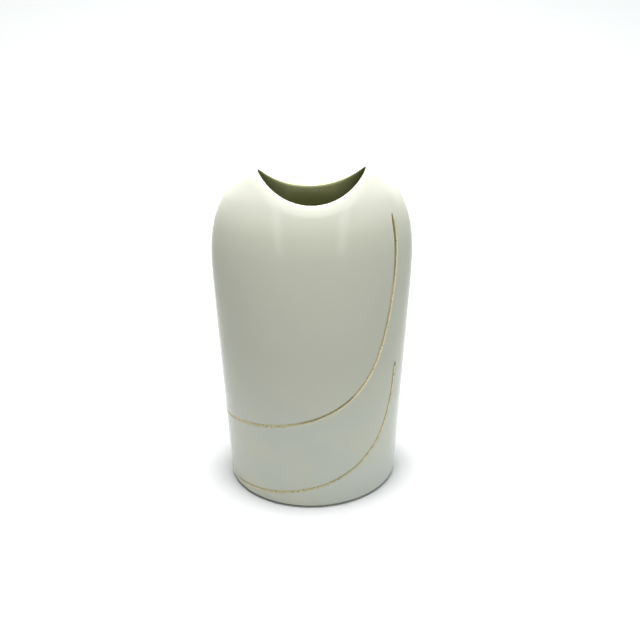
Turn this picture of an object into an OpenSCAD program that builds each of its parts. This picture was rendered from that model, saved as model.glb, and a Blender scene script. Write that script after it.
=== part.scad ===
// Flattened porcelain vase with a scooped mouth and two inlaid gold lines.
// Frame: the foot stands on z = 0, centred on the origin. X runs along the vase's width,
// Y through its depth and +Z up. The scoop in the mouth is cut along Y.
// A turn is an angle round the body's oval: 0 is the right end, -90 the middle of the front.

/* [Body] */
// Width of the body at its foot
base_w = 100; // [92:1:108]
// Depth of the body at its foot
base_d = 76; // [70:1:82]
// How far each side leans out for each millimetre of height
flare = 0.028; // [0:0.002:0.05]
// Height at which the sides start to round over into the shoulders
shoulder_z = 128; // [120:1:136]
// Height at which the front and the back would meet, above the mouth
apex_z = 215; // [210:1:220]
// Thickness of the wall, with its glaze on both sides
wall = 3; // [2.6:0.1:3.6]

/* [Mouth] */
// Radius of the round scoop that shapes the mouth
scoop_r = 32; // [30:0.5:33]
// Height of the scoop's axis
scoop_z = 224; // [222:0.5:226]
// Height over which the wall rounds over into the rim
rim_h = 6; // [4.5:0.5:7]

/* [Foot] */
// Radius of the rounded edge round the foot
edge_r = 3; // [2:0.1:4]
// Width of the flat ring that the vase stands on
ring_w = 3.5; // [2.5:0.1:5]
// Depth of the hollow under the foot
recess_h = 2.5; // [1.5:0.1:3]
// Thickness of the floor, with its glaze on both sides
floor_t = 3.5; // [3:0.1:5]
// Radius of the corner inside, between the floor and the wall
corner_r = 8; // [5:0.5:12]

/* [Glaze] */
// Thickness of each coat of glaze
glaze_t = 0.3; // [0.2:0.05:0.4]
// Part of the foot's rounded edge that the outer coat covers, as an angle from its top
glaze_turn = 50; // [40:1:60]

/* [Gold lines] */
// Width of the grooves that hold the gold
groove_w = 2.3; // [1.8:0.1:2.4]
// Depth of the grooves below the glaze
groove_h = 0.7; // [0.6:0.05:0.8]
// Depth of the gold's surface below the glaze
gold_h = 0.3; // [0.2:0.05:0.35]
// Height at which the upper line starts, on the right shoulder
upper_start_z = 187; // [180:1:190]
// Height of the upper line where it passes the left end
upper_left_z = 54; // [48:1:60]
// Height at which the lower line starts, on the right flank
lower_start_z = 94; // [88:1:100]

/* [Smoothness] */
// Facets round the body
sides = 56; // [48:4:64]
// Rings from the foot to the rim, on each side of the wall
rings = 13; // [10:1:15]

/* [Hidden] */

// Shape of the shoulders, seen from the front, and of the faces, seen from the side
shoulder_p = 3.5;
shoulder_q = 0.44;
face_q = 0.7;

floor_z = recess_h + floor_t;
ring_in = edge_r + ring_w;
recess_in = ring_in + recess_h;
arc_steps = 3;
rim_steps = 8;
// How much closer the rings come together towards the rim: 1 would space them evenly
crowding = 1.9;

// Where each line runs on the body, as the [turn, height] of a curve's four control points
upper_front = [[-33.5, upper_start_z], [-38, 71], [-66, 68], [-158, upper_left_z]];
upper_back = [[-158, upper_left_z], [-204, 47], [-262, 40], [-322, 6]];
lower_front = [[-30, lower_start_z], [-30, 25], [-79, 13.5], [-158, 5]];

// How much of its width the groove has at the very ends, and how long it takes to open
tip_share = 0.25;
tip_length = 0.06;

// ---- The body's outline ----

// Half width and half depth of the glazed outside at height z
function shoulder_curve(k) = pow(max(0, 1 - pow(max(0, k), shoulder_p)), shoulder_q);
function outer_w(z) =
    (base_w / 2 + flare * z) * shoulder_curve((z - shoulder_z) / (apex_z - shoulder_z));
function outer_d(z) = base_d / 2 * pow(max(0, 1 - pow(z / apex_z, 2)), face_q);

// The same for a surface that lies `deep` under the glazed outside, square to the wall
function slope_w(z) = outer_w(z + 0.5) - outer_w(z - 0.5);
function slope_d(z) = outer_d(z + 0.5) - outer_d(z - 0.5);
function skin_w(z, deep) = max(0.01, outer_w(z) - deep * norm([1, slope_w(z)]));
function skin_d(z, deep) = max(0.01, outer_d(z) - deep * norm([1, slope_d(z)]));

// A point at a turn and height, on that surface pulled in by `pull` all round
function skin(turn, z, deep, pull = 0) = [
    max(0, skin_w(z, deep) - pull) * cos(turn),
    max(0, skin_d(z, deep) - pull) * sin(turn),
    z
];

// Height at which a surface comes within `reach` of the scoop at a turn, found by halving
function mouth_z(turn, deep, reach, low = 150, high = 214, halvings = 22) =
    let (mid = (low + high) / 2)
    halvings == 0 ? mid
    : norm([skin_w(mid, deep) * cos(turn), scoop_z - mid]) > scoop_r + reach
        ? mouth_z(turn, deep, reach, mid, high, halvings - 1)
        : mouth_z(turn, deep, reach, low, mid, halvings - 1);

// ---- The wall's section at one turn, as lists of points ----

// Up the wall from height `start`, closer together towards the rim
function wall_up(turn, deep, start) =
    let (end = mouth_z(turn, deep, rim_h))
    [for (i = [0 : rings])
        skin(turn, start + (end - start) * (1 - pow(1 - i / rings, crowding)), deep)];

// Round the foot's outer edge, from angle `low` up to the top of the edge
function foot_edge(turn, deep, low) =
    [for (i = [arc_steps : -1 : 1])
        let (a = low * i / arc_steps)
        skin_at_edge(turn, deep, edge_r * (1 - cos(a)), edge_r * (1 - sin(a)))];
function skin_at_edge(turn, deep, pull, z) =
    let (p = skin(turn, edge_r, deep, pull)) [p.x, p.y, z];

// Over the rim, half an ellipse from the outside surface to the inside one, both ends left
// out. Its crest is `under` below the scoop.
function over_rim(turn, outside, inside, under) =
    [for (i = [1 : rim_steps - 1])
        let (t = 180 * i / rim_steps)
        let (deep = (outside + inside) / 2 - (inside - outside) / 2 * cos(t))
        skin(turn, mouth_z(turn, deep, rim_h - (rim_h - under) * sin(t)), deep)];

// Down the inside wall and round the corner to the floor, at height `bottom`
function inside_down(turn, deep, bottom, radius) =
    let (up = wall_up(turn, deep, bottom + radius))
    concat(
        [for (i = [rings : -1 : 0]) up[i]],
        [for (i = [1 : arc_steps])
            let (a = 90 * i / arc_steps)
            let (p = skin(turn, bottom + radius, deep, radius * (1 - cos(a))))
            [p.x, p.y, bottom + radius * (1 - sin(a))]]);

// ---- Solids from sections ----

function part_of(list, from, to) = [for (i = [from : to]) list[i]];
function flip(list) = [for (i = [len(list) - 1 : -1 : 0]) list[i]];
turns = [for (i = [0 : sides - 1]) 360 * i / sides];

// Joins columns of points, one for each turn, into a closed solid. With poles, the columns'
// ends are closed by one point each. Without, each column is a loop.
module wrap(columns, poles = []) {
    n = len(columns);
    m = len(columns[0]);
    last = len(poles) > 0 ? m - 2 : m - 1;
    walls = [for (i = [0 : n - 1], j = [0 : last], half = [0, 1])
        let (a = i * m + j)
        let (b = (i + 1) % n * m + j)
        let (c = (i + 1) % n * m + (j + 1) % m)
        let (d = i * m + (j + 1) % m)
        half == 0 ? [a, c, b] : [a, d, c]];
    ends = len(poles) == 0 ? [] : [for (i = [0 : n - 1], top = [0, 1])
        let (a = i * m + top * (m - 1))
        let (b = (i + 1) % n * m + top * (m - 1))
        top == 0 ? [a, b, n * m] : [b, a, n * m + 1]];
    polyhedron(points = concat([for (c = columns) each c], poles), faces = concat(walls, ends));
}

// ---- The gold lines ----

function bezier(p, t) =
    pow(1 - t, 3) * p[0] + 3 * pow(1 - t, 2) * t * p[1]
    + 3 * (1 - t) * t * t * p[2] + pow(t, 3) * p[3];

// A line's places, as [turn, height], with `steps` steps along each of its curves
function line_places(curves, steps) = [
    for (c = [0 : len(curves) - 1], i = [(c == 0 ? 0 : 1) : steps]) bezier(curves[c], i / steps)];

// Square to the glazed outside at a place
function outward(place) =
    let (across = skin(place[0] + 1, place[1], 0) - skin(place[0] - 1, place[1], 0))
    let (up = skin(place[0], place[1] + 0.5, 0) - skin(place[0], place[1] - 0.5, 0))
    cross(across, up) / norm(cross(across, up));

// How wide the groove is, as a share of its full width, at step i of n
function tip(i, n) =
    tip_share + (1 - tip_share) * sin(90 * min(1, min(i, n - i) / n / tip_length));

// Sweeps a section along a line. Each section point is [across, out], and the section narrows
// towards both ends of the line.
module sweep(places, section) {
    n = len(places) - 1;
    m = len(section);
    points = [for (i = [0 : n])
        let (here = skin(places[i][0], places[i][1], 0))
        let (ahead = skin(places[min(n, i + 1)][0], places[min(n, i + 1)][1], 0))
        let (behind = skin(places[max(0, i - 1)][0], places[max(0, i - 1)][1], 0))
        let (out = outward(places[i]))
        let (side = cross(out, ahead - behind) / norm(cross(out, ahead - behind)))
        each [for (s = section)
            here + side * s[0] * tip(i, n) + out * s[1]]];
    walls = [for (i = [0 : n - 1], j = [0 : m - 1], half = [0, 1])
        let (a = i * m + j)
        let (b = i * m + (j + 1) % m)
        half == 0 ? [a, b + m, b] : [a, a + m, b + m]];
    caps = [[for (j = [0 : m - 1]) j], [for (j = [m - 1 : -1 : 0]) n * m + j]];
    polyhedron(points = points, faces = concat(walls, caps));
}

// The groove's section reaches out past the glaze, and the gold fills the bottom of it
groove_bottom = 0.4 * groove_w;
groove_open = groove_w / 2 + (groove_w / 2 - groove_bottom / 2) * 0.8 / groove_h;
gold_half = groove_w / 2 - (groove_w / 2 - groove_bottom / 2) * gold_h / groove_h;
groove_section = [
    [-groove_open, 0.8], [-groove_bottom / 2, -groove_h],
    [groove_bottom / 2, -groove_h], [groove_open, 0.8]
];
gold_section = [
    [-gold_half, -gold_h], [-groove_bottom / 2, -groove_h],
    [groove_bottom / 2, -groove_h], [gold_half, -gold_h]
];
upper_places = line_places([upper_front, upper_back], 30);
lower_places = line_places([lower_front], 34);

// Takes both grooves out of a coat or a body. Asking for no change of size keeps the mesh.
module grooved() {
    resize([0, 0, 0]) difference() {
        children();
        sweep(upper_places, groove_section);
        sweep(lower_places, groove_section);
    }
}

// ---- Pieces ----

// The fired shell, with a hollow foot that leaves a ring to stand on
module porcelain_body() {
    inside = wall - glaze_t;
    color("Linen") grooved() wrap(
        [for (t = turns) concat(
            [skin_at_edge(t, glaze_t, recess_in, recess_h)],
            [skin_at_edge(t, glaze_t, ring_in, 0)],
            [skin_at_edge(t, glaze_t, edge_r, 0)],
            part_of(foot_edge(t, glaze_t, 90), 1, arc_steps - 1),
            wall_up(t, glaze_t, edge_r),
            over_rim(t, glaze_t, inside, glaze_t),
            inside_down(t, inside, floor_z - glaze_t, corner_r + glaze_t))],
        [[0, 0, recess_h], [0, 0, floor_z - glaze_t]]);
}

// The coat on the outside, from just above the foot to the crest of the rim
module outer_glaze() {
    crest = rim_steps / 2 - 1;
    color("Gainsboro") grooved() wrap(
        [for (t = turns) concat(
            foot_edge(t, 0, glaze_turn),
            wall_up(t, 0, edge_r),
            part_of(over_rim(t, 0, wall, 0), 0, crest),
            flip(concat(
                foot_edge(t, glaze_t, glaze_turn),
                wall_up(t, glaze_t, edge_r),
                part_of(over_rim(t, glaze_t, wall - glaze_t, glaze_t), 0, crest))))]);
}

// The coat on the inside, from the crest of the rim down over the floor
module inner_glaze() {
    crest = rim_steps / 2 - 1;
    last = rim_steps - 2;
    color("DarkKhaki") wrap(
        [for (t = turns) concat(
            flip(concat(
                part_of(over_rim(t, glaze_t, wall - glaze_t, glaze_t), crest, last),
                inside_down(t, wall - glaze_t, floor_z - glaze_t, corner_r + glaze_t))),
            part_of(over_rim(t, 0, wall, 0), crest, last),
            inside_down(t, wall, floor_z, corner_r))],
        [[0, 0, floor_z - glaze_t], [0, 0, floor_z]]);
}

// The coat in the hollow under the foot
module foot_glaze() {
    color("LightGray") translate([0, 0, recess_h - glaze_t]) linear_extrude(glaze_t)
        polygon([for (t = turns) let (p = skin_at_edge(t, glaze_t, recess_in, 0)) [p.x, p.y]]);
}

// The line from the right shoulder, across the front and round the back to the foot
module gold_line_upper() {
    color("DarkGoldenrod") sweep(upper_places, gold_section);
}

// The line from the right flank, across the front to the foot
module gold_line_lower() {
    color("Goldenrod") sweep(lower_places, gold_section);
}

porcelain_body();
outer_glaze();
inner_glaze();
foot_glaze();
gold_line_upper();
gold_line_lower();
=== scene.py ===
"""A flattened porcelain vase with a scooped mouth and two gold lines, in a plain white studio."""
import math

import bmesh
import bpy
import numpy as np
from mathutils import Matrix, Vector
from mathutils.geometry import delaunay_2d_cdt
from mathutils.kdtree import KDTree


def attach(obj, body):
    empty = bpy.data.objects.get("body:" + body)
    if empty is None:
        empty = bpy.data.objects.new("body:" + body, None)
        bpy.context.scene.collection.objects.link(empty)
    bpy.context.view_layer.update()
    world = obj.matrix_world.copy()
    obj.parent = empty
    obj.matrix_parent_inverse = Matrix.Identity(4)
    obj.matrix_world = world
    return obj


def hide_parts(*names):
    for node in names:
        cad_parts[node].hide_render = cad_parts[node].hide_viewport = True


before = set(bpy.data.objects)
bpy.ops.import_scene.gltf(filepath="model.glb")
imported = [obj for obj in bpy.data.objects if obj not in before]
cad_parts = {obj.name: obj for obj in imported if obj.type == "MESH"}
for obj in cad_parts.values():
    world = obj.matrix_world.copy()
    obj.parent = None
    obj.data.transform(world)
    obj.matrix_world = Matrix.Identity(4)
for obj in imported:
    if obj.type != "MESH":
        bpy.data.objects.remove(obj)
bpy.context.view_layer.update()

MM = 0.001

# ---- Driving dimensions, in millimetres and degrees, the same as the CAD model's ----
# A turn is an angle round the body's oval: 0 is the right end, -90 the middle of the front.

BASE_W = 100.0
BASE_D = 76.0
FLARE = 0.028
SHOULDER_Z = 128.0
APEX_Z = 215.0
SHOULDER_P = 3.5
SHOULDER_Q = 0.44
FACE_Q = 0.7
WALL = 3.0

SCOOP_R = 32.0
SCOOP_Z = 224.0
RIM_H = 6.0
# The heights between which the mouth's edge is looked for
MOUTH_LOW = 150.0
MOUTH_HIGH = 214.0

EDGE_R = 3.0
RING_W = 3.5
RECESS_H = 2.5
FLOOR_T = 3.5
CORNER_R = 8.0

GLAZE_T = 0.3
# The glaze ends this far round the foot's edge, and its own edge is rounded over the last part
GLAZE_TURN = 50.0
GLAZE_EDGE_TURN = 8.0
GLAZE_EDGE_THIN = 0.8
# The porcelain's surface lies this far under the back of the glaze
BACKING_GAP = 0.02

GROOVE_HALF = 1.27
GROOVE_H = 0.6
# Its depth follows (1 - q^a)^b, with q from 0 at its middle to 1 at its edge
GROOVE_POWERS = (3, 1.6)
# The narrowest that a groove gets at its ends, as a share of its full width
GROOVE_TIP_SHARE = 0.3
GOLD_HALF = 1.07
GOLD_UP = 0.03
GOLD_DOWN = 0.06
# The film's edges are sunk this far under the groove's surface
GOLD_SUNK = 0.004

# Where each line runs, as the (turn, height) of the four control points of each curve
UPPER_CURVES = [
    [(-33.5, 187.0), (-38.0, 71.0), (-66.0, 68.0), (-158.0, 54.0)],
    [(-158.0, 54.0), (-204.0, 47.0), (-262.0, 40.0), (-322.0, 6.0)],
]
LOWER_CURVES = [[(-30.0, 94.0), (-30.0, 25.0), (-79.0, 13.5), (-158.0, 5.0)]]

# ---- Mesh fineness ----

COLUMNS = 240
WALL_ROWS = 116
INSIDE_ROWS = 60
CAP_ROWS = 12
ARC_ROWS = 8
# Rows crowd towards the mouth by this power
CROWDING = 1.25
LINE_STEP = 1.1
# Places across a groove and its lips, to each side of its middle, in millimetres
LINE_OFFSETS = (0.2, 0.4, 0.58, 0.74, 0.88, 1.0, 1.12, 1.45, 2.0)
# The wall's own rows and columns leave this much room beside the last of them
LINE_ROOM = 0.8
GOLD_COLUMNS = 16
# The side of the body where neither line runs, so that the unrolled wall is cut there
CUT_TURN = 10.0
# The unrolled wall's size for each degree of turn, and from the foot's edge to the mouth
FLAT_TURN = 0.85
FLAT_HEIGHT = 200.0
# Shares of the way out from the middle at which the vase's floor has rows of points
FLOOR_SHARES = (0.8, 0.55, 0.3, 0.1)
# The glaze under the foot, as (share of the way out, depth under the hollow's top)
POOL_SECTION = ((1.0, 0.0), (0.995, 0.12), (0.985, 0.22), (0.96, 0.29), (0.9, 0.3), (0.5, 0.3), (0.15, 0.3))
# Two triangles become a quad if they bend less than the first angle and its corners are square
# to within the second
FLAT_ANGLE = 12.0
SQUARE_ANGLE = 50.0

# ---- Colours, as linear red, green and blue ----
# Where there are two, a material drifts between them.

OUTER_TONES = ((0.462, 0.472, 0.386), (0.448, 0.458, 0.375))
# Painted cool reflection, mixed in patches into the glaze low on the wall
OUTER_COOL_REFLECTION = (0.438, 0.461, 0.404)
# Painted shade on the middle of the wall
OUTER_PAINTED_SHADE = (0.388, 0.398, 0.324)
# Painted light over the shoulders
OUTER_PAINTED_LIGHT = (0.54, 0.545, 0.475)
INNER_TONES = ((0.62, 0.64, 0.37), (0.605, 0.625, 0.355))
# Painted shade inside the two ends of the mouth
INNER_PAINTED_SHADE = (0.085, 0.1, 0.012)
FOOT_TONES = ((0.6, 0.6, 0.5), (0.58, 0.58, 0.485))
SPECK = (0.25, 0.2, 0.14)
BISQUE_TONES = ((0.76, 0.73, 0.66), (0.68, 0.64, 0.56))
# Painted shade along the groove's upper side, and deeper painted shade over some stretches
GOLD_SHADED = ((0.4, 0.37, 0.215), (0.33, 0.3, 0.17))
GOLD_DEEP_SHADE = ((0.17, 0.155, 0.08), (0.13, 0.115, 0.06))
# Painted highlight along the groove's lower side
GOLD_HIGHLIGHT = ((0.68, 0.63, 0.43), (0.62, 0.57, 0.38))
# Painted highlight along the groove's upper lip
GOLD_LIP_HIGHLIGHT = (0.66, 0.6, 0.4)
# Painted shade at the start of a line
GOLD_SHADED_START = (0.16, 0.15, 0.12)
GOLD_WORN = (0.5, 0.46, 0.34)
FLOOR_TONES = ((0.5, 0.51, 0.51), (0.495, 0.505, 0.505))
WHITE_LIGHT = (1, 1, 1)
COOL_LIGHT = (0.86, 0.96, 1.0)

# ---- Studio, in metres, watts and degrees ----

FLOOR_RADIUS = 6.0
FLOOR_SIDES = 64
# The room's brightness near the horizon, in a band above it, and overhead. The band's heights are the
# sines of the angles at which it starts to rise, is full, starts to fall and has fallen.
ROOM = 0.22
BAND = 1.25
SKY = 0.2
BAND_HEIGHTS = (0.12, 0.18, 0.33, 0.4)

CAMERA_AZIMUTH = -2.7
CAMERA_ELEVATION = 37.0
CAMERA_DISTANCE = 0.62
CAMERA_TARGET = (0.0042, -0.0002, 0.1112)
SENSOR_MM = 36.0
LENS_MM = 62.128


# ---- The body's outline ----

def half_width(z):
    k = np.maximum(0.0, (z - SHOULDER_Z) / (APEX_Z - SHOULDER_Z))
    return (BASE_W / 2 + FLARE * z) * np.maximum(0.0, 1 - k**SHOULDER_P) ** SHOULDER_Q


def half_depth(z):
    return BASE_D / 2 * np.maximum(0.0, 1 - (z / APEX_Z) ** 2) ** FACE_Q


def inset(half, z, deep):
    """A half size of a surface that lies `deep` under the outside, square to the wall."""
    slope = half(z + 0.5) - half(z - 0.5)
    return np.maximum(0.01, half(z) - deep * np.hypot(1.0, slope))


def wall_point(turn, z, deep=0.0, pull=0.0, at=None):
    """A point on the wall. `pull` draws it in all round, and `at` moves it to another height."""
    turn, z = np.broadcast_arrays(np.asarray(turn, float), np.asarray(z, float))
    angle = np.radians(turn)
    x = np.maximum(0.0, inset(half_width, z, deep) - pull) * np.cos(angle)
    y = np.maximum(0.0, inset(half_depth, z, deep) - pull) * np.sin(angle)
    return np.stack([x, y, z if at is None else np.broadcast_to(at, z.shape)], -1)


def mouth_z(turn, deep=0.0, reach=RIM_H):
    """The height at which the wall comes within `reach` of the scoop, found by halving."""
    turn = np.asarray(turn, float)
    low = np.full(turn.shape, MOUTH_LOW)
    high = np.full(turn.shape, MOUTH_HIGH)
    for _ in range(40):
        mid = (low + high) / 2
        away = np.hypot(inset(half_width, mid, deep) * np.cos(np.radians(turn)), SCOOP_Z - mid)
        outside = away > SCOOP_R + reach
        low = np.where(outside, mid, low)
        high = np.where(outside, high, mid)
    return (low + high) / 2


def unit(v):
    return v / np.linalg.norm(v, axis=-1, keepdims=True)


def along_turn(turn, z):
    """How far the wall moves for each degree of turn."""
    return wall_point(turn + 0.5, z) - wall_point(turn - 0.5, z)


def along_height(turn, z):
    """How far the wall moves for each millimetre of height."""
    return (wall_point(turn, z + 0.25) - wall_point(turn, z - 0.25)) / 0.5


def outward(turn, z):
    return unit(np.cross(along_turn(turn, z), along_height(turn, z)))


# ---- The gold lines' grooves ----

def smooth(t):
    t = np.clip(t, 0.0, 1.0)
    return t * t * (3 - 2 * t)


def curve_places(curves, steps=400):
    """Close points along a line, as (turn, height)."""
    t = np.linspace(0, 1, steps)[:, None]
    parts = []
    for curve in curves:
        a, b, c, d = (np.array(p) for p in curve)
        parts.append((1 - t) ** 3 * a + 3 * (1 - t) ** 2 * t * b + 3 * (1 - t) * t * t * c + t**3 * d)
    return np.concatenate([parts[0]] + [p[1:] for p in parts[1:]])


class Line:
    """A groove's path on the wall, with a place for each step along it and each offset across."""

    def __init__(self, curves, tip_mm, bare_mm):
        close = curve_places(curves)
        path = wall_point(close[:, 0], close[:, 1])
        length = np.concatenate([[0], np.cumsum(np.linalg.norm(np.diff(path, axis=0), axis=1))])
        count = int(length[-1] / LINE_STEP) + 1
        self.s = np.linspace(0, length[-1], count)
        self.turn = np.interp(self.s, length, close[:, 0])
        self.z = np.interp(self.s, length, close[:, 1])
        self.path = wall_point(self.turn, self.z)
        self.out = outward(self.turn, self.z)
        self.side = unit(np.cross(self.out, np.gradient(self.path, axis=0)))
        self.open = smooth(np.minimum(self.s, length[-1] - self.s) / tip_mm)
        self.width = GROOVE_TIP_SHARE + (1 - GROOVE_TIP_SHARE) * self.open
        self.gilded = self.s >= bare_mm

    def places(self, across):
        """(turn, height) at each step for each offset in `across`, in millimetres at full width."""
        jt = along_turn(self.turn, self.z)
        jz = along_height(self.turn, self.z)
        tt, tz, zz = ((a * b).sum(-1) for a, b in ((jt, jt), (jt, jz), (jz, jz)))
        st, sz = (self.side * jt).sum(-1), (self.side * jz).sum(-1)
        det = tt * zz - tz * tz
        per_turn = (zz * st - tz * sz) / det
        per_z = (tt * sz - tz * st) / det
        offset = np.outer(self.width, across)
        return self.turn[:, None] + per_turn[:, None] * offset, self.z[:, None] + per_z[:, None] * offset

    def depth(self, across):
        """How deep the groove is at each place, and how steeply it falls across."""
        inner, outer = GROOVE_POWERS
        q = np.clip(np.abs(across) / GROOVE_HALF, 0, 1)
        left = 1 - q**inner
        shape = left**outer
        fall = outer * left ** (outer - 1) * inner * q ** (inner - 1) / GROOVE_HALF * np.sign(across)
        deep = GROOVE_H * self.open
        return np.outer(deep, shape), np.outer(deep / self.width, fall)


UPPER = Line(UPPER_CURVES, tip_mm=9.0, bare_mm=0.0)
LOWER = Line(LOWER_CURVES, tip_mm=4.0, bare_mm=1.0)
LINES = (UPPER, LOWER)


# ---- The outside wall, unrolled and meshed round the grooves ----

def closed_turns():
    return CUT_TURN - 360 + 360 * np.arange(COLUMNS) / COLUMNS


class Wall:
    """The outside between the foot's edge and the rim, as one sheet with both grooves in it."""

    def __init__(self):
        turn, part = self.spread_points()
        flat = [Vector((t * FLAT_TURN, p * FLAT_HEIGHT)) for t, p in zip(turn, part)]
        made = delaunay_2d_cdt(flat, self.edges, [], 0, 1e-6, True)
        first = np.array([ids[0] for ids in made[3]])
        self.turn, self.part = turn[first], part[first]
        self.deep, self.tilt = self.groove_deep[first], self.groove_tilt[first]
        self.z = EDGE_R + self.part * (mouth_z(self.turn) - EDGE_R)
        self.normal = unit(outward(self.turn, self.z) + self.tilt)
        self.point = wall_point(self.turn, self.z) - outward(self.turn, self.z) * self.deep[:, None]
        self.faces = [list(f) for f in made[2]]
        self.close_seam()

    def spread_points(self):
        rows = np.arange(WALL_ROWS + 1) / WALL_ROWS
        parts = 1 - (1 - rows) ** CROWDING
        turns = np.append(closed_turns(), CUT_TURN)
        turn, part = (a.ravel() for a in np.meshgrid(turns, parts))
        z = EDGE_R + part * (mouth_z(turn) - EDGE_R)
        near = KDTree(sum(len(line.s) for line in LINES))
        for i, p in enumerate(np.concatenate([line.path for line in LINES])):
            near.insert(p, i)
        near.balance()
        clear = LINE_OFFSETS[-1] + LINE_ROOM
        keep = np.array([near.find(p)[2] > clear for p in wall_point(turn, z)])
        keep |= (part == 0) | (part == 1)
        turn, part = turn[keep], part[keep]
        deep, tilt = np.zeros(len(turn)), np.zeros((len(turn), 3))
        across = np.array([-d for d in LINE_OFFSETS[::-1]] + [0.0] + list(LINE_OFFSETS))
        self.edges = []
        for line in LINES:
            t, z = line.places(across)
            d, fall = line.depth(across)
            start = len(turn)
            index = start + np.arange(t.size).reshape(t.shape)
            self.edges += [tuple(e) for e in np.stack([index[:-1].ravel(), index[1:].ravel()], 1)]
            self.edges += [tuple(e) for e in np.stack([index[:, :-1].ravel(), index[:, 1:].ravel()], 1)]
            turn = np.append(turn, t.ravel())
            part = np.append(part, ((z - EDGE_R) / (mouth_z(t) - EDGE_R)).ravel())
            deep = np.append(deep, d.ravel())
            lean = -fall[:, :, None] * line.side[:, None, :]
            tilt = np.concatenate([tilt, lean.reshape(-1, 3)])
        self.groove_deep, self.groove_tilt = deep, tilt
        return turn, part

    def close_seam(self):
        """Joins the cut's two sides, and finds the bottom and top rows in order round the body."""
        key = np.round(self.part * 1e6).astype(int)
        left = {key[i]: i for i in np.flatnonzero(np.abs(self.turn - (CUT_TURN - 360)) < 1e-4)}
        right = np.flatnonzero(np.abs(self.turn - CUT_TURN) < 1e-4)
        swap = np.arange(len(self.turn))
        for i in right:
            swap[i] = left[key[i]]
        used = np.ones(len(self.turn), bool)
        used[right] = False
        number = np.cumsum(used) - 1
        self.faces = [[int(number[swap[i]]) for i in f] for f in self.faces]
        for name in ("turn", "part", "z", "point", "normal"):
            setattr(self, name, getattr(self, name)[used])
        self.bottom, self.top = (
            sorted(np.flatnonzero(np.abs(self.part - level) < 1e-7), key=lambda i: self.turn[i])
            for level in (0.0, 1.0)
        )


# ---- Rows of points round the rest of the section ----

def row_normals(rows):
    """Normals of a grid of closed rows, pointing to the left of the way that the rows go."""
    round_it = np.roll(rows, -1, axis=1) - np.roll(rows, 1, axis=1)
    return unit(np.cross(round_it, np.gradient(rows, axis=0)))


def foot_rows(deep, low, high, count):
    """Round the foot's edge, from angle `low` to `high` below its top, lowest row first."""
    turn = closed_turns()
    rows = []
    for angle in np.radians(np.linspace(high, low, count)):
        z = EDGE_R * (1 - math.sin(angle))
        rows.append(wall_point(turn, EDGE_R, deep, EDGE_R * (1 - math.cos(angle)), at=z))
    return np.array(rows)


def rim_rows():
    """Over the rim, an ellipse across the wall, from the outside wall's top to the inside wall's."""
    turn = closed_turns()
    rows = []
    for t in np.linspace(0, math.pi, 2 * CAP_ROWS + 1):
        deep = WALL / 2 * (1 - math.cos(t))
        rows.append(wall_point(turn, mouth_z(turn, deep, RIM_H * (1 - math.sin(t))), deep))
    return np.array(rows)


def inside_rows():
    """Down the inside wall, round its corner and across the floor, the middle left out."""
    turn = closed_turns()
    floor_z = RECESS_H + FLOOR_T
    top = mouth_z(turn, WALL)
    bottom = floor_z + CORNER_R
    rows = []
    for t in np.linspace(0, 1, INSIDE_ROWS + 1):
        rows.append(wall_point(turn, top + (bottom - top) * t**CROWDING, WALL))
    for angle in np.radians(np.linspace(0, 90, ARC_ROWS + 1)[1:]):
        pull = CORNER_R * (1 - math.cos(angle))
        rows.append(wall_point(turn, bottom, WALL, pull, at=bottom - CORNER_R * math.sin(angle)))
    last = rows[-1]
    for share in FLOOR_SHARES:
        rows.append(last * [share, share, 1])
    return np.array(rows)


# ---- Building meshes ----

class Skin:
    """A mesh being put together from rows of points, in millimetres."""

    def __init__(self):
        self.points, self.normals, self.faces = [], [], []

    def add(self, points, normals):
        """Adds a grid of points, and gives their numbers in the same shape."""
        start = len(self.points)
        self.points.extend(np.asarray(points).reshape(-1, 3))
        self.normals.extend(np.asarray(normals).reshape(-1, 3))
        return np.arange(start, len(self.points)).reshape(np.asarray(points).shape[:-1])

    def add_wall(self, wall, deep, flip):
        """Adds the outside wall, `deep` under its surface, and gives its bottom and top rows."""
        sign = -1 if flip else 1
        index = self.add(wall.point - wall.normal * deep, wall.normal * sign)
        self.faces += [[int(index[i]) for i in (f[::-1] if flip else f)] for f in wall.faces]
        return index[wall.bottom], index[wall.top]

    def join(self, lower, upper):
        """Quads between two closed rows. They face outwards where the upper row is above."""
        for a, b, c, d in zip(lower, np.roll(lower, -1), np.roll(upper, -1), upper):
            self.faces.append([int(a), int(b), int(c), int(d)])

    def join_all(self, rows):
        for lower, upper in zip(rows[:-1], rows[1:]):
            self.join(lower, upper)

    def fan(self, row, point, normal, flip=False):
        """Triangles from a closed row to one point in its middle."""
        middle = int(self.add(np.array([point]), np.array([normal]))[0])
        for a, b in zip(row, np.roll(row, -1)):
            self.faces.append([int(b), int(a), middle] if flip else [int(a), int(b), middle])

    def build(self, name, slot, material, *nodes):
        """The finished piece, in place of the CAD nodes. Its slot is not used."""
        mesh = bpy.data.meshes.new(name)
        points = np.array(self.points) * MM
        mesh.from_pydata(points.tolist(), [], self.faces)
        tidy = bmesh.new()
        tidy.from_mesh(mesh)
        bmesh.ops.join_triangles(
            tidy, faces=[f for f in tidy.faces if len(f.verts) == 3],
            angle_face_threshold=math.radians(FLAT_ANGLE), angle_shape_threshold=math.radians(SQUARE_ANGLE))
        tidy.to_mesh(mesh)
        tidy.free()
        mesh.polygons.foreach_set("use_smooth", [True] * len(mesh.polygons))
        mesh.normals_split_custom_set_from_vertices(np.array(self.normals).tolist())
        mesh.materials.append(material)
        piece = bpy.data.objects.new(name, mesh)
        bpy.context.scene.collection.objects.link(piece)
        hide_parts(*nodes)
        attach(piece, "root")
        return piece


# ---- Materials ----

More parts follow.
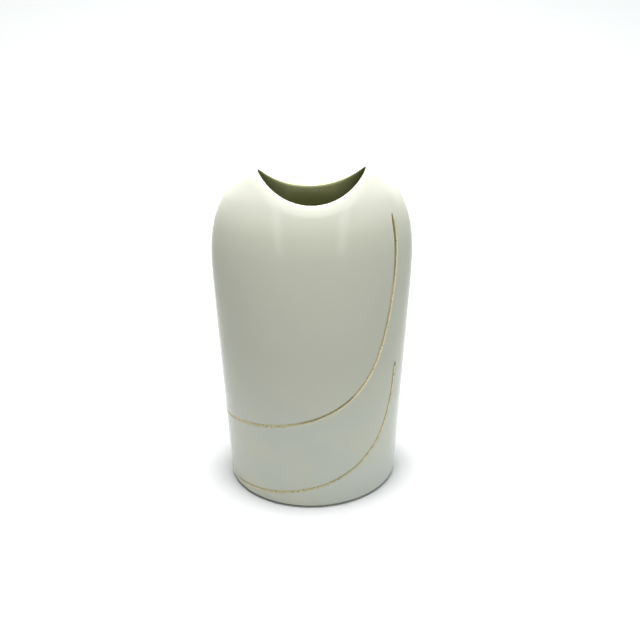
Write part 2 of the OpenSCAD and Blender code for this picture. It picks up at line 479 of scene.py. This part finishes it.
class Nodes:
    """A material's node tree, with short names for what the materials here use.

    Patterns lie on the object's own coordinates, and their sizes are in millimetres."""

    def __init__(self, name):
        self.material = bpy.data.materials.new(name)
        self.material.use_nodes = True
        self.tree = self.material.node_tree
        self.shader = self.tree.nodes["Principled BSDF"]
        self.place = self.tree.nodes.new("ShaderNodeTexCoord").outputs["Object"]

    def link(self, a, b):
        self.tree.links.new(a, b)

    def stored(self, name):
        node = self.tree.nodes.new("ShaderNodeAttribute")
        node.attribute_name = name
        return node.outputs["Fac"]

    def noise(self, size_mm, detail=2.0, rough=0.5):
        node = self.tree.nodes.new("ShaderNodeTexNoise")
        node.inputs["Scale"].default_value = 1 / (size_mm * MM)
        node.inputs["Detail"].default_value = detail
        node.inputs["Roughness"].default_value = rough
        self.link(self.place, node.inputs["Vector"])
        return node.outputs["Fac"]

    def cells(self, size_mm):
        node = self.tree.nodes.new("ShaderNodeTexVoronoi")
        node.inputs["Scale"].default_value = 1 / (size_mm * MM)
        self.link(self.place, node.inputs["Vector"])
        return node.outputs["Distance"]

    def remap(self, value, low, high, to_low, to_high):
        node = self.tree.nodes.new("ShaderNodeMapRange")
        for name, number in (("From Min", low), ("From Max", high), ("To Min", to_low), ("To Max", to_high)):
            node.inputs[name].default_value = number
        self.link(value, node.inputs["Value"])
        return node.outputs["Result"]

    def band(self, axis, low_mm, high_mm, to_low, to_high):
        """A ramp between two distances from the middle of the foot, along one of the object's axes."""
        node = self.tree.nodes.new("ShaderNodeSeparateXYZ")
        self.link(self.place, node.inputs[0])
        away = self.math("ABSOLUTE", node.outputs[axis])
        return self.remap(away, low_mm * MM, high_mm * MM, to_low, to_high)

    def mix(self, fac, a, b):
        node = self.tree.nodes.new("ShaderNodeMix")
        node.data_type = "RGBA"
        self.link(fac, node.inputs["Factor"])
        for value, socket in ((a, node.inputs[6]), (b, node.inputs[7])):
            if isinstance(value, tuple):
                socket.default_value = (*value, 1)
            else:
                self.link(value, socket)
        return node.outputs[2]

    def math(self, operation, *values):
        node = self.tree.nodes.new("ShaderNodeMath")
        node.operation = operation
        for value, socket in zip(values, node.inputs):
            if isinstance(value, (int, float)):
                socket.default_value = value
            else:
                self.link(value, socket)
        return node.outputs[0]

    def bump(self, height, distance_mm, before=None):
        node = self.tree.nodes.new("ShaderNodeBump")
        node.inputs["Strength"].default_value = 1.0
        node.inputs["Distance"].default_value = distance_mm * MM
        self.link(height, node.inputs["Height"])
        if before is not None:
            self.link(before, node.inputs["Normal"])
        return node.outputs["Normal"]


def drift(n, tones):
    """A slow drift between two tones, as thick and thin glaze gives."""
    return n.mix(n.remap(n.noise(45, 3), 0.3, 0.7, 0, 1), *tones)


def glaze_finish(n, tone):
    """Faint specks in a glaze, its gloss and a slight waviness in its shine."""
    speck = n.remap(n.cells(7), 0.02, 0.035, 1, 0)
    rare = n.remap(n.noise(11, 0), 0.66, 0.7, 0, 0.35)
    n.link(n.mix(n.math("MULTIPLY", speck, rare), tone, SPECK), n.shader.inputs["Base Color"])
    n.link(n.remap(n.noise(18, 4, 0.6), 0.3, 0.75, 0.05, 0.11), n.shader.inputs["Roughness"])
    n.shader.inputs["IOR"].default_value = 1.5
    waves = n.bump(n.noise(22, 1), 0.05)
    n.link(n.bump(n.noise(1.6, 2), 0.0015, waves), n.shader.inputs["Normal"])
    return n.material


def outer_glaze_material():
    """Painted cool reflection in patches low down, painted shade in a band on the wall, and painted light
    over the shoulders.
    """
    n = Nodes("glaze_outer")
    tone = drift(n, OUTER_TONES)
    # Painted cool reflection in patches, only low on the wall
    patches = n.remap(n.noise(30, 2), 0.38, 0.58, 0, 1)
    tone = n.mix(n.math("MULTIPLY", n.band("Z", 60, 110, 1, 0), patches), tone, OUTER_COOL_REFLECTION)
    # Painted shade in a band on the middle of the wall
    painted_shade_band = n.math("MULTIPLY", n.band("Z", 55, 105, 0, 1), n.band("Z", 163, 185, 0.8, 0))
    tone = n.mix(painted_shade_band, tone, OUTER_PAINTED_SHADE)
    # Painted light over the shoulders, where the top light falls
    tone = n.mix(n.band("Z", 176, 194, 0, 0.8), tone, OUTER_PAINTED_LIGHT)
    return glaze_finish(n, tone)


def inner_glaze_material():
    """Deep olive painted shade inside the two ends of the mouth, from partway down up to the rim."""
    n = Nodes("glaze_inner")
    # Painted shade towards the two ends of the mouth, high up on the inside
    painted_horn_shade = n.math("MULTIPLY", n.band("X", 12, 28, 0, 0.92), n.band("Z", 140, 170, 0, 1))
    return glaze_finish(n, n.mix(painted_horn_shade, drift(n, INNER_TONES), INNER_PAINTED_SHADE))


def foot_glaze_material():
    n = Nodes("glaze_foot")
    return glaze_finish(n, drift(n, FOOT_TONES))


def bisque_material():
    """Bare fired porcelain: matt and fine-grained, a little soiled where it stands."""
    n = Nodes("bisque")
    n.link(n.mix(n.noise(9, 4), *BISQUE_TONES), n.shader.inputs["Base Color"])
    n.link(n.remap(n.noise(2, 3), 0.3, 0.7, 0.62, 0.82), n.shader.inputs["Roughness"])
    n.link(n.bump(n.noise(0.35, 4, 0.7), 0.02), n.shader.inputs["Normal"])
    return n.material


def gold_material(name, shaded_start_mm, turn, burnt_mm):
    """Fired gold, with painted shade along the groove's upper side and a painted highlight on its lower
    side.

    The second argument is how far painted shade at the line's start reaches along it. `turn` is where across
    the line, from -1 to 1, the painted shade gives way to the painted highlight. The last argument lists the
    stretches where the painted shade is deeper, as (start, end, weight)."""
    n = Nodes(name)
    across, along = n.stored("across"), n.stored("along")
    side = n.math("ADD", across, n.remap(n.noise(2.2, 3, 0.6), 0.3, 0.7, -0.16, 0.16))
    blend, fade_mm = 0.2, 6
    # Stretches where the painted shade is deeper
    deeper_shade = 0.0
    for start, end, weight in burnt_mm:
        rise = n.remap(along, start - fade_mm, start, 0, weight)
        deeper_shade = n.math("ADD", deeper_shade, n.math("MULTIPLY", rise, n.remap(along, end, end + fade_mm, 1, 0)))
    patches = n.noise(4, 3)
    # Painted shade on the upper side
    dark = n.mix(deeper_shade, n.mix(patches, *GOLD_SHADED), n.mix(patches, *GOLD_DEEP_SHADE))
    # Painted highlight on the lower side
    pale = n.mix(n.remap(n.noise(6, 3), 0.35, 0.65, 0, 1), *GOLD_HIGHLIGHT)
    tone = n.mix(n.remap(side, turn - blend, turn + blend, 0, 1), dark, pale)
    # Painted highlight along the upper lip
    tone = n.mix(n.remap(side, -0.95, -0.7, 0.45, 0), tone, GOLD_LIP_HIGHLIGHT)
    # Painted shade at the line's start
    tone = n.mix(n.remap(along, shaded_start_mm * 0.7, shaded_start_mm, 0.85, 0), tone, GOLD_SHADED_START)
    worn = n.remap(n.noise(3.2, 4, 0.65), 0.62, 0.7, 0, 0.7)
    n.link(n.mix(worn, tone, GOLD_WORN), n.shader.inputs["Base Color"])
    shine = n.remap(side, turn - blend, turn + blend, 0.85, 0.4)
    n.link(n.math("SUBTRACT", shine, n.remap(worn, 0, 1, 0, 0.4)), n.shader.inputs["Metallic"])
    n.link(n.remap(n.noise(1.4, 3), 0.3, 0.7, 0.24, 0.42), n.shader.inputs["Roughness"])
    n.link(n.bump(n.noise(0.8, 3), 0.012), n.shader.inputs["Normal"])
    return n.material


# ---- Pieces ----

def build_outer_glaze(wall, rim, rim_n, material):
    """From the foot's edge up the wall and over the rim to its crest, with the grooves in it."""
    skin = Skin()
    foot = foot_rows(0.0, 0.0, GLAZE_TURN, 2 * ARC_ROWS + 1)[:-1]
    angles = np.linspace(GLAZE_TURN, 0, 2 * ARC_ROWS + 1)[:-1]
    foot_n = row_normals(np.concatenate([foot, wall.point[wall.bottom][None]]))[:-1]
    q = np.clip((angles - (GLAZE_TURN - GLAZE_EDGE_TURN)) / GLAZE_EDGE_TURN, 0, 1)
    thin = GLAZE_T * GLAZE_EDGE_THIN * (1 - np.sqrt(1 - q**2))
    front_foot = skin.add(foot - foot_n * thin[:, None, None], foot_n)
    bottom, top = skin.add_wall(wall, 0.0, False)
    front_rim = skin.add(rim[1:], rim_n[1:])
    skin.join_all([*front_foot, bottom])
    skin.join_all([top, *front_rim])
    back_foot = skin.add(foot - foot_n * GLAZE_T, -foot_n)
    back_bottom, back_top = skin.add_wall(wall, GLAZE_T, True)
    back_rim = skin.add(rim[1:] - rim_n[1:] * GLAZE_T, -rim_n[1:])
    skin.join_all([back_bottom, *back_foot[::-1]])
    skin.join_all([*back_rim[::-1], back_top])
    skin.join(front_rim[-1], back_rim[-1])
    skin.join(back_foot[0], front_foot[0])
    return skin.build("outer_glaze_coat", "glaze_outer", material, "outer_glaze")


def build_inner_glaze(rim, rim_n, inside, inside_n, material):
    """From the rim's crest down the inside and across the floor."""
    skin = Skin()
    rows = np.concatenate([rim, inside[1:]])
    normals = np.concatenate([rim_n, inside_n[1:]])
    front = skin.add(rows, normals)
    back = skin.add(rows - normals * GLAZE_T, -normals)
    skin.join_all(front)
    skin.join_all(back[::-1])
    skin.join(back[0], front[0])
    floor_z = RECESS_H + FLOOR_T
    skin.fan(front[-1], (0, 0, floor_z), (0, 0, 1))
    skin.fan(back[-1], (0, 0, floor_z - GLAZE_T), (0, 0, -1), flip=True)
    return skin.build("inner_glaze_coat", "glaze_inner", material, "inner_glaze")


def build_foot_glaze(material):
    """A pool of glaze in the hollow under the foot, thinner towards its edge."""
    skin = Skin()
    turn = closed_turns()
    pull = EDGE_R + RING_W + RECESS_H
    rows = np.array([
        wall_point(turn, EDGE_R, GLAZE_T, pull, at=RECESS_H - drop) * [share, share, 1]
        for share, drop in POOL_SECTION
    ])
    front = skin.add(rows, -row_normals(rows))
    skin.join_all(front[::-1])
    skin.fan(front[-1], (0, 0, RECESS_H - GLAZE_T), (0, 0, -1), flip=True)
    back = skin.add(rows[0], np.tile([0.0, 0, 1], (COLUMNS, 1)))
    skin.fan(back, (0, 0, RECESS_H), (0, 0, 1))
    return skin.build("foot_glaze_pool", "glaze_foot", material, "foot_glaze")


def build_body(wall, rim, rim_n, inside, inside_n, material):
    """The shell under the glazes: its hollow and ring underneath, the wall, the rim and the inside."""
    skin = Skin()
    turn = closed_turns()
    deep = GLAZE_T + BACKING_GAP
    ring_out, ring_in = EDGE_R, EDGE_R + RING_W
    under = [wall_point(turn, EDGE_R, deep, ring_in + RECESS_H * 2, at=RECESS_H)]
    for t in np.linspace(0, 1, ARC_ROWS + 1):
        pull = ring_in + RECESS_H * (1 - t)
        under.append(wall_point(turn, EDGE_R, deep, pull, at=RECESS_H * (1 - smooth(t))))
    under.append(wall_point(turn, EDGE_R, deep, (ring_in + ring_out) / 2, at=0.0))
    foot = foot_rows(deep, 0.0, 90.0, 3 * ARC_ROWS + 1)[:-1]
    lower = np.concatenate([np.array(under), foot])
    next_up = (wall.point - wall.normal * deep)[wall.bottom]
    normals = row_normals(np.concatenate([lower, next_up[None]]))[:-1]
    low = skin.add(lower, normals)
    bottom, top = skin.add_wall(wall, deep, False)
    rows = np.concatenate([rim[1:], inside[1:]])
    row_n = np.concatenate([rim_n[1:], inside_n[1:]])
    high = skin.add(rows - row_n * deep, row_n)
    skin.join_all([*low, bottom])
    skin.join_all([top, *high])
    skin.fan(low[0], (0, 0, RECESS_H), (0, 0, -1), flip=True)
    skin.fan(high[-1], (0, 0, RECESS_H + FLOOR_T - deep), (0, 0, 1))
    return skin.build("porcelain_shell", "bisque", material, "porcelain_body")


def build_gold(line, name, slot, node, material):
    """A film of gold over the bottom of a groove, with thin rounded edges."""
    across = GOLD_HALF * np.sin(np.radians(np.linspace(-90, 90, GOLD_COLUMNS + 1)))
    edge = np.sqrt(np.clip(1 - (across / GOLD_HALF) ** 4, 0, 1))
    turn, z = line.places(across)
    deep, fall = line.depth(across)
    base, out = wall_point(turn, z), outward(turn, z)
    normal = unit(out - fall[:, :, None] * line.side[:, None, :])
    film = (line.open[:, None] * edge)[:, :, None]
    groove = base - out * deep[:, :, None]
    top = groove + normal * (GOLD_UP * film - GOLD_SUNK)
    low = groove - normal * (GOLD_DOWN * film + GOLD_SUNK)
    top, low, normal = (v[line.gilded] for v in (top, low, normal))
    skin = Skin()
    a = skin.add(top, normal)
    b = skin.add(low, -normal)
    m, n = a.shape
    for i in range(m - 1):
        for j in range(n - 1):
            skin.faces.append([int(k) for k in (a[i, j], a[i + 1, j], a[i + 1, j + 1], a[i, j + 1])])
            skin.faces.append([int(k) for k in (b[i, j], b[i, j + 1], b[i + 1, j + 1], b[i + 1, j])])
        for j, (p, q) in ((0, (a, b)), (n - 1, (b, a))):
            skin.faces.append([int(k) for k in (p[i, j], q[i, j], q[i + 1, j], p[i + 1, j])])
    for i, (p, q) in ((0, (b, a)), (m - 1, (a, b))):
        for j in range(n - 1):
            skin.faces.append([int(k) for k in (p[i, j], q[i, j], q[i, j + 1], p[i, j + 1])])
    piece = skin.build(name, slot, material, node)
    places = {"across": np.tile(across / GOLD_HALF, m), "along": np.repeat(line.s[line.gilded], n)}
    for stored, value in places.items():
        layer = piece.data.attributes.new(stored, "FLOAT", "POINT")
        layer.data.foreach_set("value", np.tile(value, 2))


def build_vase():
    wall = Wall()
    rim, inside = rim_rows(), inside_rows()
    rim[0] = wall.point[wall.top]
    section = np.concatenate([rim, inside[1:]])
    normals = row_normals(section)
    normals[0] = wall.normal[wall.top]
    rim_n, inside_n = normals[:len(rim)], normals[len(rim) - 1:]
    crest = CAP_ROWS
    build_outer_glaze(wall, rim[:crest + 1], rim_n[:crest + 1], outer_glaze_material())
    build_inner_glaze(rim[crest:], rim_n[crest:], inside, inside_n, inner_glaze_material())
    build_foot_glaze(foot_glaze_material())
    build_body(wall, rim, rim_n, inside, inside_n, bisque_material())
    # Per line: reach of painted shade at its start, where painted shade gives way to painted highlight,
    # deeper shaded stretches
    upper_gold = gold_material("gold_upper", 0.1, 0.4, ((0, 36, 0.55), (60, 78, 0.3), (117, 146, 0.75)))
    lower_gold = gold_material("gold_lower", 5.5, 0.55, ((8, 40, 0.7), (46, 90, 0.25), (148, 157, 0.3)))
    build_gold(UPPER, "gold_upper_film", "gold_upper", "gold_line_upper", upper_gold)
    build_gold(LOWER, "gold_lower_film", "gold_lower", "gold_line_lower", lower_gold)


# ---- Studio ----

def area_light(name, place, target, size, power, colour=WHITE_LIGHT):
    data = bpy.data.lights.new(name, "AREA")
    data.shape = "RECTANGLE"
    data.size, data.size_y = size
    data.energy = power
    data.color = colour
    light = bpy.data.objects.new(name, data)
    light.location = place
    light.rotation_euler = (Vector(target) - Vector(place)).to_track_quat("-Z", "Y").to_euler()
    bpy.context.scene.collection.objects.link(light)


def build_floor():
    n = Nodes("studio_floor")
    n.link(n.mix(n.noise(120, 2), *FLOOR_TONES), n.shader.inputs["Base Color"])
    n.shader.inputs["Roughness"].default_value = 0.9
    n.shader.inputs["Specular IOR Level"].default_value = 0.1
    mesh = bpy.data.meshes.new("studio_floor")
    angles = [2 * math.pi * i / FLOOR_SIDES for i in range(FLOOR_SIDES)]
    ring = [(FLOOR_RADIUS * math.cos(a), FLOOR_RADIUS * math.sin(a), 0.0) for a in angles]
    mesh.from_pydata(ring, [], [list(range(FLOOR_SIDES))])
    mesh.materials.append(n.material)
    floor = bpy.data.objects.new("studio_floor", mesh)
    bpy.context.scene.collection.objects.link(floor)


def build_world():
    """A dim room all round, with a bright band above the horizon that shines on the upper wall."""
    world = bpy.data.worlds.new("studio")
    bpy.context.scene.world = world
    world.use_nodes = True
    tree = world.node_tree
    place = tree.nodes.new("ShaderNodeTexCoord")
    split = tree.nodes.new("ShaderNodeSeparateXYZ")
    ramp = tree.nodes.new("ShaderNodeValToRGB")
    tree.links.new(place.outputs["Generated"], split.inputs[0])
    tree.links.new(split.outputs["Z"], ramp.inputs["Fac"])
    tree.links.new(ramp.outputs["Color"], tree.nodes["Background"].inputs["Color"])
    stops = ramp.color_ramp.elements
    for stop, height, grey in ((stops[0], BAND_HEIGHTS[0], ROOM), (stops[1], BAND_HEIGHTS[3], SKY)):
        stop.position = height
        stop.color = (grey, grey, grey, 1)
    for height in BAND_HEIGHTS[1:3]:
        stops.new(height).color = (BAND, BAND, BAND, 1)


def build_lights():
    """A soft box over the vase, a wide one for the floor behind, a cool one and two strips in front."""
    area_light("top_softbox", (0.0, 0.0, 1.0), (0, 0, 0), (0.3, 0.3), 20)
    area_light("back_softbox", (0.0, 1.05, 0.95), (0, 1.0, 0), (2.2, 0.6), 16)
    area_light("right_softbox", (1.0, -0.1, 0.5), (0, 0, 0.1), (0.8, 0.8), 1.9, COOL_LIGHT)
    for name, x in (("left_strip", -0.32), ("right_strip", 0.34)):
        area_light(name, (x, -1.3, 0.26), (0, 0, 0.19), (0.1, 0.48), 0.2)


def build_camera():
    """The photograph's viewing angle: from just left of the front, well above the mouth."""
    azimuth, elevation = math.radians(CAMERA_AZIMUTH), math.radians(CAMERA_ELEVATION)
    back = Vector((math.sin(azimuth) * math.cos(elevation),
                   -math.cos(azimuth) * math.cos(elevation), math.sin(elevation)))
    data = bpy.data.cameras.new("camera")
    data.sensor_width = SENSOR_MM
    data.lens = LENS_MM
    camera = bpy.data.objects.new("camera", data)
    camera.location = Vector(CAMERA_TARGET) + back * CAMERA_DISTANCE
    camera.rotation_euler = (-back).to_track_quat("-Z", "Y").to_euler()
    bpy.context.scene.collection.objects.link(camera)
    bpy.context.scene.camera = camera


build_vase()
build_floor()
build_world()
build_lights()
build_camera()
bpy.context.scene.view_settings.view_transform = "Standard"
